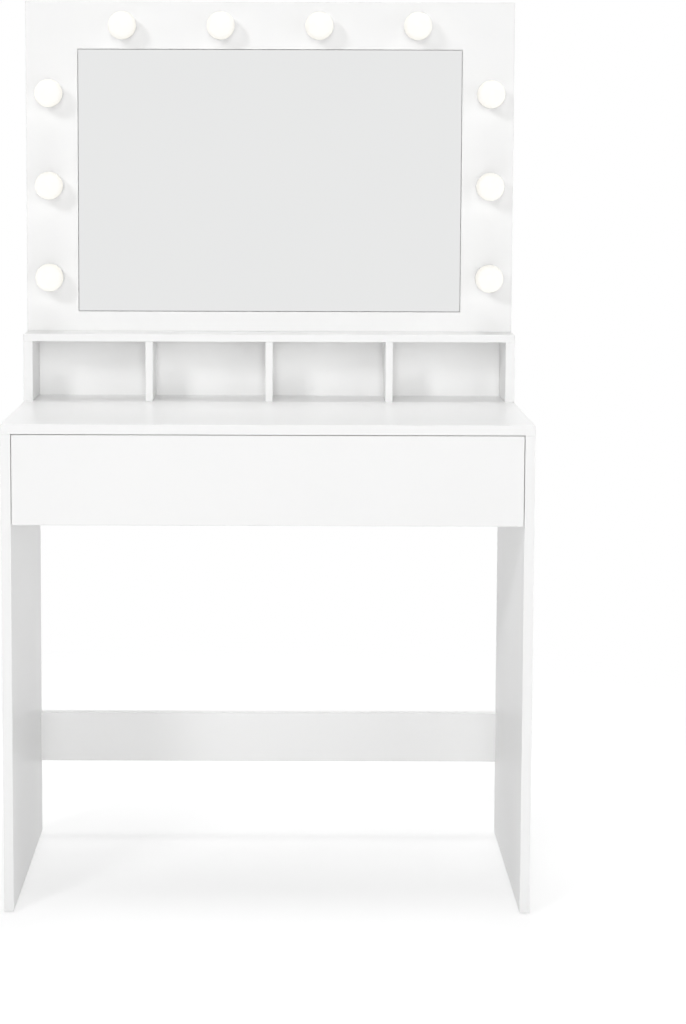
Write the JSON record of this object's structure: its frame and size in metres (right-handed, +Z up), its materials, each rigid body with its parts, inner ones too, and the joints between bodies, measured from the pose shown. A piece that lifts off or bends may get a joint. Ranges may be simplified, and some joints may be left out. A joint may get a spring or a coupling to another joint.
{
  "type": "vanity table",
  "caption": "Dressing table with a drawer, an open organiser shelf and a mirror framed by lit globe lamps on a slab-sided desk.",
  "frame": {"origin": "on the floor, under the middle of the table's footprint", "axes": "+X to the sitter's right as seen facing the mirror, +Y towards the wall, +Z up"},
  "size_m": [0.8, 0.4, 1.4],
  "materials": {
    "white_board": "white melamine-faced board, satin",
    "table_top_board": "white melamine-faced board, satin, slightly glossier",
    "thin_back_board": "thin white-faced fibreboard, satin",
    "mirror_glass": "clear silvered glass, polished",
    "foam_pad": "closed-cell foam, matt",
    "lamp_plastic": "white moulded plastic, satin",
    "lamp_globe": "opal plastic, lit from inside",
    "circuit_board": "white coated board",
    "inlet_plastic": "black moulded plastic",
    "zinc_steel": "zinc plated, satin",
    "runner_steel": "white powder coat over folded sheet",
    "nylon_wheel": "white nylon, satin",
    "glide_plastic": "pale grey plastic"
  },
  "bodies": {
    "cabinet": {"table_top": "table_top_board", "left_side_panel": "white_board", "right_side_panel": "white_board", "rear_rail": "white_board", "lower_stretcher": "white_board", "foot_glides": "glide_plastic", "organiser_left_side": "white_board", "organiser_right_side": "white_board", "organiser_top": "white_board", "organiser_divider_1": "white_board", "organiser_divider_2": "white_board", "organiser_divider_3": "white_board", "organiser_back": "thin_back_board", "mirror_front_panel": "white_board", "mirror_box_left_rail": "white_board", "mirror_box_right_rail": "white_board", "mirror_box_bottom_rail": "white_board", "mirror_box_top_rail": "white_board", "mirror_back_cover": "thin_back_board", "mirror_pads": "foam_pad", "mirror_glass": "mirror_glass", "joining_plates": "zinc_steel", "lamp_bases": "lamp_plastic", "lamp_led_boards": "circuit_board", "lamp_globes": "lamp_globe", "power_inlet": "inlet_plastic", "left_cabinet_runner": "runner_steel", "right_cabinet_runner": "runner_steel"},
    "drawer": {"drawer_front": "white_board", "drawer_left_side": "white_board", "drawer_right_side": "white_board", "drawer_back": "white_board", "drawer_bottom": "thin_back_board", "left_drawer_runner": "runner_steel", "right_drawer_runner": "runner_steel"},
    "left_front_wheel": {"left_front_wheel": "nylon_wheel"},
    "right_front_wheel": {"right_front_wheel": "nylon_wheel"},
    "left_rear_wheel": {"left_rear_wheel": "nylon_wheel"},
    "right_rear_wheel": {"right_rear_wheel": "nylon_wheel"}
  },
  "joints": [
    {"name": "drawer_slide", "type": "slide", "parent": "cabinet", "child": "drawer", "axis": [0, -1, 0], "range_m": [0, 0.225]},
    {"name": "left_front_roll", "type": "hinge", "parent": "cabinet", "child": "left_front_wheel", "pos_m": [-0.3832, -0.167, 0.62725], "axis": [1, 0, 0], "range_deg": [0, 1230]},
    {"name": "right_front_roll", "type": "hinge", "parent": "cabinet", "child": "right_front_wheel", "pos_m": [0.3832, -0.167, 0.62725], "axis": [1, 0, 0], "range_deg": [0, 1230]},
    {"name": "left_rear_roll", "type": "hinge", "parent": "drawer", "child": "left_rear_wheel", "pos_m": [-0.37682, 0.105, 0.62445], "axis": [1, 0, 0], "range_deg": [0, 1230]},
    {"name": "right_rear_roll", "type": "hinge", "parent": "drawer", "child": "right_rear_wheel", "pos_m": [0.37682, 0.105, 0.62445], "axis": [1, 0, 0], "range_deg": [0, 1230]}
  ],
  "couplings": [
    {"joint": "left_front_roll", "follows": "drawer_slide", "rad_per_m": 95.238},
    {"joint": "right_front_roll", "follows": "drawer_slide", "rad_per_m": 95.238},
    {"joint": "left_rear_roll", "follows": "drawer_slide", "rad_per_m": 95.238},
    {"joint": "right_rear_roll", "follows": "drawer_slide", "rad_per_m": 95.238}
  ]
}
